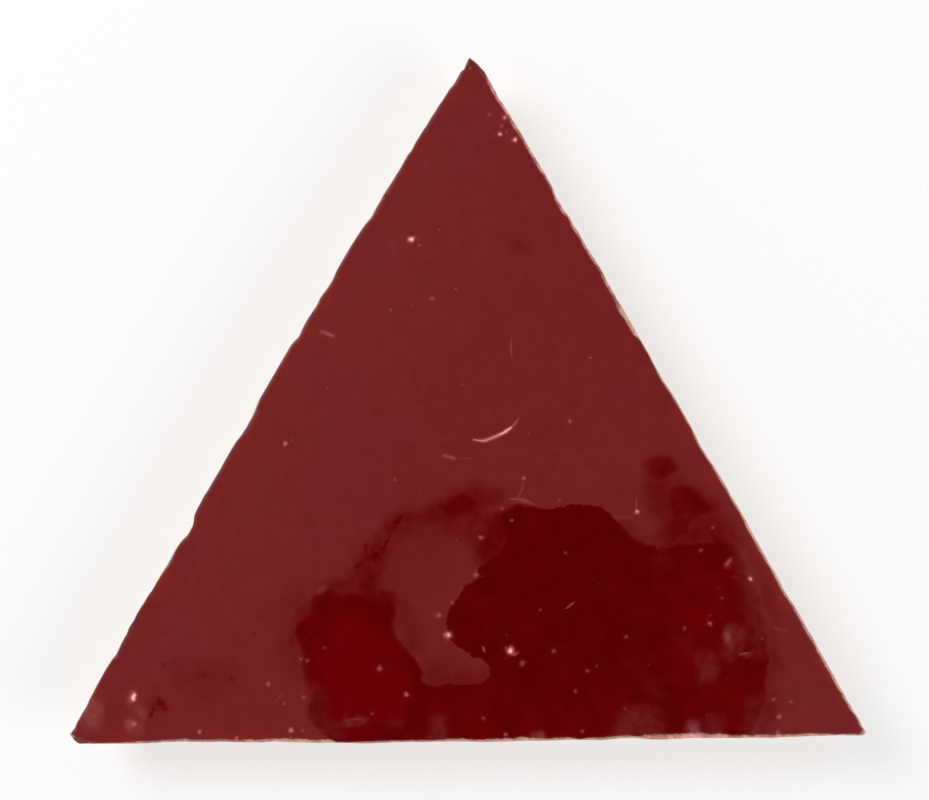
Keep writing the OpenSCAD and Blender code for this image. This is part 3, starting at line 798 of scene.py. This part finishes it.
def keep_mask(mesh, name, parts):
    """Keeps a mask in the mesh, from pairs of point numbers and values. It is 0 elsewhere."""
    full = np.zeros(len(mesh.vertices), np.float32)
    for numbers, values in parts:
        full[numbers] = values
    mesh.attributes.new(name, "FLOAT", "POINT").data.foreach_set("value", full)


def build_mesh():
    bare, nib = bare_widths(), nibbles()
    glaze_rings = glaze_rim(bare, nib)
    clay_rings, carved, fresh = clay_side(bare, nib)
    border = glaze_rings[0]
    flat = np.concatenate([border[:, :2], face_points(border[:, :2])])
    face_tris = fill_ring(flat[:COUNT], flat[COUNT:])
    inset, angle = rim_inset(flat)
    dent, pale, hollow = pinhole_marks(flat)
    masks = face_masks(flat, pale, hollow)
    face = np.column_stack([flat, face_surface(flat, inset, dent)])
    face[:COUNT, 2] = border[:, 2]
    back = back_points(clay_rings[-1][:, :2])
    back_tris = fill_ring(clay_rings[-1][:, :2], back[:, :2])

    # The blocks of points are joined by loops, which are the face's border and each ring after it
    blocks = [face, *glaze_rings[1:], *clay_rings, back]
    starts = np.cumsum([0] + [len(block) for block in blocks])
    loops = [np.arange(COUNT) + start for start in starts[: len(blocks) - 1]]
    faces, slots = [tuple(t) for t in face_tris.tolist()], [0] * len(face_tris)
    for k, (upper, lower) in enumerate(zip(loops, loops[1:])):
        quads = np.stack([upper, lower, np.roll(lower, -1), np.roll(upper, -1)], -1)
        faces += [tuple(q) for q in quads.tolist()]
        slots += [0 if k < len(glaze_rings) else 1] * COUNT
    under = np.where(back_tris < COUNT, back_tris + loops[-1][0], back_tris - COUNT + starts[-2])
    faces += [tuple(t[::-1]) for t in under.tolist()]
    slots += [1] * len(under)
    mesh = bpy.data.meshes.new("glazed_tile")
    mesh.from_pydata((np.concatenate(blocks) * MM).tolist(), [], faces)
    mesh.polygons.foreach_set("material_index", slots)

    every = np.arange(len(flat))
    glaze_loops, clay_loops = loops[: len(glaze_rings)], loops[len(glaze_rings):]
    for name, values in masks.items():
        rolled = [(loop, values[:COUNT]) for loop in [*glaze_loops[1:], clay_loops[0]]]
        keep_mask(mesh, name, [(every, values), *rolled])
    keep_mask(mesh, "inset", [(every, inset)])
    keep_mask(mesh, "carved", zip(clay_loops, carved))
    keep_mask(mesh, "fresh", zip(clay_loops, fresh))
    blush = along_rim(PINK)
    keep_mask(mesh, "blush", [(loop, blush * f) for loop, f in zip(clay_loops, fresh)])
    # Scorched brown along the rim, also painted shade: on the left side it deepens in the notches, where
    # shade falls
    scorch_and_shade = along_rim(BURNT_AND_SHADED) * np.where(SIDE == LEFT, 0.3 + 1.1 * smooth_step(nib / 0.1), 1)
    below = [(loop, scorch_and_shade * f) for loop, f in zip(clay_loops, fresh)]
    rolled = [(loop, scorch_and_shade) for loop in glaze_loops]
    keep_mask(mesh, "scorch_and_shade", [*below, (every, round_axis(angle, scorch_and_shade)), *rolled])

    mesh.validate()
    mesh.shade_smooth()
    mesh.set_sharp_from_angle(angle=math.radians(48))
    return bpy.data.objects.new("glazed_tile", mesh)


# ---- materials

# Glaze
SATIN_COOL = (0.164, 0.0042, 0.0078)
SATIN_WARM = (0.172, 0.005, 0.0054)
SATIN_DARK = (0.15, 0.0036, 0.006)
SATIN_PALE = (0.178, 0.0064, 0.0092)
# Colours of the pool: dark glaze, darkened further as a painted dark reflection
POOL_GLAZE_AND_DARK_REFLECTION = (0.1, 0.0003, 0.001)
POOL_GLAZE_AND_PALER_REFLECTION = (0.142, 0.0007, 0.0026)
RIM_WARM = (0.2, 0.0075, 0.002)
# Scorched glaze at the very edge, darkened further as painted shade
RIM_BURNT_AND_SHADED = (0.06, 0.014, 0.003)
RIM_BRIGHT = (0.26, 0.03, 0.02)
SMEAR_AND_HIGHLIGHT_PINK = (0.19, 0.035, 0.04)
SPECK_PINK = (0.33, 0.1, 0.1)
BRUISE_AND_HIGHLIGHT_PINK = (0.44, 0.12, 0.13)
PIT_PINK = (0.5, 0.085, 0.095)
PIT_PALE = (0.95, 0.5, 0.52)
PIT_DARK = (0.075, 0.0005, 0.002)
SATIN_ROUGHNESS = 0.36
POOL_ROUGHNESS = 0.07
WORN_ROUGHNESS = 0.6

# Clay
CLAY_CREAM = (0.72, 0.47, 0.25)
CLAY_ROSE = (0.74, 0.45, 0.31)
CLAY_BROWN = (0.56, 0.35, 0.19)
CLAY_GRAIN = (0.83, 0.66, 0.47)
CLAY_GRIT = (0.2, 0.1, 0.05)
# Painted shade in the facets' hollows and painted highlight on their ridges
CLAY_HOLLOW_SHADE = (0.52, 0.31, 0.16)
CLAY_RIDGE_HIGHLIGHT = (0.84, 0.66, 0.45)
CLAY_FRESH = (0.8, 0.58, 0.43)
# Scorched clay under the rim, darkened further as painted shade
CLAY_BURNT_AND_SHADED = (0.13, 0.06, 0.012)
BLUSH_DEEP = (0.42, 0.14, 0.13)
BLUSH_PALE = (0.78, 0.38, 0.34)
CLAY_ROUGHNESS = 0.88


class Nodes:
    """Short ways to add nodes to one tree. Textures are laid by place, in millimetres."""

    def __init__(self, tree):
        self.tree = tree
        self.place = None

    def put(self, value, socket):
        if isinstance(value, bpy.types.NodeSocket):
            self.tree.links.new(value, socket)
        else:
            socket.default_value = value

    def add(self, kind, inputs=None, **settings):
        node = self.tree.nodes.new(kind)
        for key, value in settings.items():
            setattr(node, key, value)
        for key, value in (inputs or {}).items():
            self.put(value, node.inputs[key])
        return node

    def math(self, operation, a, b, clamp=False):
        return self.add("ShaderNodeMath", {0: a, 1: b}, operation=operation, use_clamp=clamp).outputs[0]

    def times(self, a, b):
        return self.math("MULTIPLY", a, b)

    def plus(self, a, b, clamp=False):
        return self.math("ADD", a, b, clamp)

    def minus(self, a, b, clamp=False):
        return self.math("SUBTRACT", a, b, clamp)

    def most(self, a, b, clamp=False):
        return self.math("MAXIMUM", a, b, clamp)

    def layers(self, colour, *rows):
        """A colour with others laid over it in turn, given as pairs of share and colour."""
        for share, over in rows:
            a, b = (c if isinstance(c, bpy.types.NodeSocket) else (*c, 1) for c in (colour, over))
            # The colours of a Mix node are its inputs 6 and 7 and its output 2
            colour = self.add("ShaderNodeMix", {0: share, 6: a, 7: b}, data_type="RGBA").outputs[2]
        return colour

    def ramp(self, value, low, high, to_low=0, to_high=1):
        inputs = {0: value, 1: low, 2: high, 3: to_low, 4: to_high}
        return self.add("ShaderNodeMapRange", inputs, interpolation_type="SMOOTHSTEP").outputs[0]

    def mask(self, name):
        return self.add("ShaderNodeAttribute", attribute_name=name).outputs["Fac"]

    def noise(self, scale, detail, rough, seed):
        inputs = {"Vector": self.place, "W": seed, "Scale": scale, "Detail": detail, "Roughness": rough}
        return self.add("ShaderNodeTexNoise", inputs, noise_dimensions="4D").outputs["Fac"]

    def dots(self, scale, core, edge, rare_low, rare_high):
        """Dots scattered at random: how large their core and edge are, and how few of them show."""
        cells = self.add("ShaderNodeTexVoronoi", {"Vector": self.place, "Scale": scale}, feature="F1")
        dot = self.ramp(cells.outputs["Distance"], core, edge, 1, 0)
        lot = self.add("ShaderNodeSeparateColor", {0: cells.outputs["Color"]}).outputs[0]
        return self.times(dot, self.ramp(lot, rare_low, rare_high))

    def bump(self, height, strength, depth, normal=None):
        inputs = {"Height": height, "Strength": strength, "Distance": depth * MM}
        if normal is not None:
            inputs["Normal"] = normal
        return self.add("ShaderNodeBump", inputs).outputs[0]


def new_material(name):
    material = bpy.data.materials.new(name)
    material.use_nodes = True
    n = Nodes(material.node_tree)
    inputs = {0: n.add("ShaderNodeTexCoord").outputs["Object"], "Scale": 1 / MM}
    n.place = n.add("ShaderNodeVectorMath", inputs, operation="SCALE").outputs[0]
    return material, n, material.node_tree.nodes["Principled BSDF"].inputs


def pool_mask(n, smear_and_highlight):
    """Where the glaze is thick and clear, and its colour holds the painted dark reflection, with a frayed
    edge that is crisp here and soft there.
    """
    ragged = n.ramp(n.noise(0.11, 2, 0.5, 14), 0.42, 0.56, 0.5, 1.6)
    fray = n.times(n.minus(n.noise(2.0, 4, 0.7, 1), 0.5), 0.34)
    tear = n.times(n.minus(n.noise(0.7, 4, 0.65, 13), 0.5), 0.42)
    edge = n.plus(n.mask("pool"), n.times(n.plus(fray, tear), ragged))
    softness = n.ramp(n.noise(0.16, 1, 0.5, 9), 0.42, 0.6, 0.055, 0.13)
    softness = n.plus(softness, n.times(n.mask("blur"), 0.34))
    pool = n.ramp(edge, n.minus(0.5, softness), n.plus(0.5, softness))
    haze = n.times(n.mask("haze"), n.ramp(n.noise(0.45, 4, 0.55, 10), 0.35, 0.62, 0.72, 1.15))
    wisp = n.times(n.mask("wisp"), n.ramp(n.noise(0.8, 4, 0.6, 17), 0.38, 0.58, 0.3, 1.1))
    pool = n.most(n.most(pool, haze, clamp=True), wisp, clamp=True)
    return n.times(pool, n.minus(1, smear_and_highlight, clamp=True))


def glaze_colour(n, pool):
    """Satin film and clear pool, both mottled. The pool's dark colour is partly a painted dark reflection."""
    satin = n.layers(
        SATIN_COOL,
        (n.ramp(n.noise(0.07, 3, 0.55, 3), 0.4, 0.6), SATIN_WARM),
        (n.ramp(n.noise(0.4, 5, 0.65, 4), 0.38, 0.66, 0, 0.8), SATIN_DARK),
        (n.ramp(n.noise(0.55, 3, 0.6, 18), 0.46, 0.68, 0, 0.6), SATIN_PALE),
    )
    mottled = n.ramp(n.noise(0.35, 5, 0.7, 5), 0.34, 0.66, -0.34, 0.42)
    # Painted dark reflection: the pool's colour stands in for a dark reflection as well as thick glaze, and
    # is paler where the glaze is thinner
    deep_and_reflected = n.layers(POOL_GLAZE_AND_DARK_REFLECTION, (n.plus(n.mask("thin_and_paler_reflection"), mottled, clamp=True), POOL_GLAZE_AND_PALER_REFLECTION))
    return n.layers(satin, (pool, deep_and_reflected))


def rim_colour(n, colour, pool, burnt_and_shaded):
    """The glaze's colour, warmer near the rim, and scorched brown with painted shade along its edge."""
    patchy = n.ramp(n.noise(0.2, 3, 0.6, 11), 0.45, 0.62)
    near_rim = n.times(n.ramp(n.mask("inset"), 0.3, 3.2, 0.8, 0), patchy)
    near_rim = n.times(near_rim, n.minus(1, pool))
    # The very edge: scorched brown with painted shade, and bright red patches
    edge = n.layers(RIM_BURNT_AND_SHADED, (n.ramp(n.noise(0.35, 3, 0.6, 16), 0.42, 0.58), RIM_BRIGHT))
    return n.layers(colour, (near_rim, RIM_WARM), (burnt_and_shaded, edge))


def glaze_material():
    """Oxblood glaze: satin where the glaze runs shallow, glossy in the pool, whose dark colour is partly a
    painted dark reflection, pale clay in the pinholes, and painted highlights among some smears, bruises and
    strokes.
    """
    material, n, shader = new_material("red_glaze")
    smear_and_highlight = n.times(n.mask("smear_and_highlight"), n.ramp(n.noise(0.7, 3, 0.55, 2), 0.35, 0.62, 0.45, 1.05))
    pool = pool_mask(n, smear_and_highlight)
    # Scorched brown with painted shade, at the glaze's very edge
    burnt_and_shaded = n.times(n.ramp(n.mask("inset"), 0.15, 0.65, 1, 0),
                    n.ramp(n.noise(0.5, 3, 0.6, 12), 0.44, 0.58, 0.1, 1.5))
    burnt_and_shaded = n.times(burnt_and_shaded, n.mask("scorch_and_shade"))
    bruise_and_highlight = n.times(n.mask("bruise_and_highlight"), n.ramp(n.noise(0.8, 4, 0.6, 15), 0.38, 0.6, 0.8, 1.5))
    pale = n.mask("pale")
    colour = n.layers(
        rim_colour(n, glaze_colour(n, pool), pool, burnt_and_shaded),
        # Milky smears, with painted highlights where they rise from the base rim
        (n.times(smear_and_highlight, 0.4), SMEAR_AND_HIGHLIGHT_PINK),
        (n.times(n.dots(0.36, 0.015, 0.06, 0.5, 1), 0.55), SPECK_PINK),
        # Pale bruises, with painted highlights where two of them meet the base rim
        (bruise_and_highlight, BRUISE_AND_HIGHLIGHT_PINK),
        # Pale pits and scratches; two of the strokes are painted highlights
        (n.ramp(pale, 0, 0.7, 0, 0.9), PIT_PINK),
        (n.ramp(pale, 0.5, 1), PIT_PALE),
        (n.times(n.mask("hollow"), n.ramp(pale, 0, 0.2, 0.7, 0)), PIT_DARK),
    )
    n.put(colour, shader["Base Color"])

    rough = n.ramp(pool, 0, 1, SATIN_ROUGHNESS, POOL_ROUGHNESS)
    rough = n.plus(rough, n.times(n.minus(n.noise(0.5, 4, 0.6, 6), 0.5), 0.05))
    rough = n.most(rough, n.times(pale, WORN_ROUGHNESS), clamp=True)
    n.put(n.most(rough, n.times(burnt_and_shaded, WORN_ROUGHNESS)), shader["Roughness"])
    shader["IOR"].default_value = 1.5

    normal = n.bump(n.noise(0.8, 3, 0.5, 7), 0.35, 0.06)
    normal = n.bump(n.noise(6.0, 2, 0.5, 8), n.times(n.minus(1, pool), 0.25), 0.02, normal)
    n.put(normal, shader["Normal"])
    return material


def clay_material():
    """Cream clay, sandy and broken where it was chiselled, with painted shade in the hollows of its facets
    and painted highlight on their ridges, pink in places along the rim and scorched brown with painted shade
    in others.
    """
    material, n, shader = new_material("fired_clay")
    carved = n.mask("carved")
    pink = n.layers(BLUSH_DEEP, (n.ramp(n.noise(1.1, 3, 0.6, 26), 0.4, 0.62), BLUSH_PALE))
    colour = n.layers(
        CLAY_CREAM,
        (n.ramp(n.noise(0.07, 3, 0.5, 21), 0.4, 0.6), CLAY_ROSE),
        (n.ramp(n.noise(0.9, 4, 0.65, 22), 0.4, 0.68, 0, 0.6), CLAY_BROWN),
        (n.ramp(n.noise(5.5, 3, 0.7, 23), 0.56, 0.68, 0, 0.7), CLAY_GRAIN),
        (n.times(n.dots(1.1, 0.1, 0.2, 0.7, 0.8), 0.75), CLAY_GRIT),
        # Painted shade in the hollows of the chiselled facets and painted highlight on their ridges
        (n.ramp(carved, 0.05, 0.45, 0, 0.35), CLAY_HOLLOW_SHADE),
        (n.ramp(carved, -0.05, -0.3, 0, 0.3), CLAY_RIDGE_HIGHLIGHT),
        (n.times(n.mask("fresh"), 0.6), CLAY_FRESH),
        (n.times(n.mask("blush"), 0.9), pink),
        # Scorched clay with painted shade, along the top of the side and in the notches
        (n.times(n.mask("scorch_and_shade"), 0.95), CLAY_BURNT_AND_SHADED),
    )
    n.put(colour, shader["Base Color"])
    shader["Roughness"].default_value = CLAY_ROUGHNESS
    shader["Specular IOR Level"].default_value = 0.25
    normal = n.bump(n.noise(1.6, 5, 0.65, 24), 0.8, 0.25)
    n.put(n.bump(n.noise(9.0, 3, 0.6, 25), 0.6, 0.06, normal), shader["Normal"])
    return material


def floor_material():
    """White paper, which to the camera and in reflections looks whiter than the light makes it."""
    whiter = 0.58
    material, n, shader = new_material("white_floor")
    shader["Base Color"].default_value = (0.95, 0.95, 0.95, 1)
    shader["Roughness"].default_value = 0.9
    shader["Specular IOR Level"].default_value = 0.0
    nodes = material.node_tree.nodes
    rays = n.add("ShaderNodeLightPath").outputs
    seen = n.most(n.most(rays["Is Camera Ray"], rays["Is Glossy Ray"]), rays["Is Transmission Ray"])
    paper = nodes["Principled BSDF"].outputs[0]
    white = n.add("ShaderNodeEmission", {"Color": (1, 1, 1, 1), "Strength": 1.0}).outputs[0]
    both = n.add("ShaderNodeMixShader", {0: n.times(seen, whiter), 1: paper, 2: white}).outputs[0]
    n.put(both, nodes["Material Output"].inputs["Surface"])
    return material


# ---- stage, light and camera


def make_floor():
    size = 6.0
    mesh = bpy.data.meshes.new("floor")
    corners = [(-size, -size), (size, -size), (size, size), (-size, size)]
    mesh.from_pydata([(x, y, LOW[2] * MM) for x, y in corners], [], [(0, 1, 2, 3)])
    floor = bpy.data.objects.new("floor", mesh)
    floor.data.materials.append(floor_material())
    bpy.context.scene.collection.objects.link(floor)


def make_world():
    """A soft studio: dark straight overhead, where a camera would hang, and pale round the horizon."""
    world = bpy.data.worlds.new("studio")
    bpy.context.scene.world = world
    world.use_nodes = True
    n = Nodes(world.node_tree)
    way = n.add("ShaderNodeTexCoord").outputs["Generated"]
    up = n.add("ShaderNodeSeparateXYZ", {0: way}).outputs["Z"]
    dome = n.ramp(up, 0.8, 0.965, 0.55, 0)
    horizon = n.ramp(up, 0.08, 0.4, 0.4, 0)
    background = world.node_tree.nodes["Background"].inputs
    n.put(n.plus(dome, horizon), background["Strength"])
    background["Color"].default_value = (1, 1, 1, 1)


def make_lamp(name, place, size, power):
    light = bpy.data.lights.new(name, "AREA")
    light.shape, light.size, light.energy = "DISK", size, power
    lamp = bpy.data.objects.new(name, light)
    lamp.location = place
    lamp.rotation_euler = (-Vector(place)).to_track_quat("-Z", "Y").to_euler()
    bpy.context.scene.collection.objects.link(lamp)


def make_camera():
    """Straight above the face, turned so that the base edge rises as it does in the marks."""
    lens, sensor, fill = 110.0, 36.0, 0.86
    width = (HIGH[0] - LOW[0]) * MM
    camera = bpy.data.cameras.new("camera")
    camera.lens, camera.sensor_width = lens, sensor
    view = bpy.data.objects.new("camera", camera)
    middle = (LOW[:2] + HIGH[:2]) / 2 * MM
    view.location = (*middle, HIGH[2] * MM + width / fill * lens / sensor)
    view.rotation_euler = (0, 0, -MARK_LEAN)
    bpy.context.scene.collection.objects.link(view)
    bpy.context.scene.camera = view


tile = build_mesh()
bpy.context.scene.collection.objects.link(tile)
tile.data.materials.append(glaze_material())
tile.data.materials.append(clay_material())
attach(tile, "root")
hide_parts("tile")

make_floor()
make_world()
make_lamp("key", (-0.7, 0.5, 0.9), 0.6, 8.4)
make_lamp("fill", (0.9, -0.4, 0.8), 0.8, 4.4)
make_camera()
bpy.context.scene.view_settings.view_transform = "Standard"
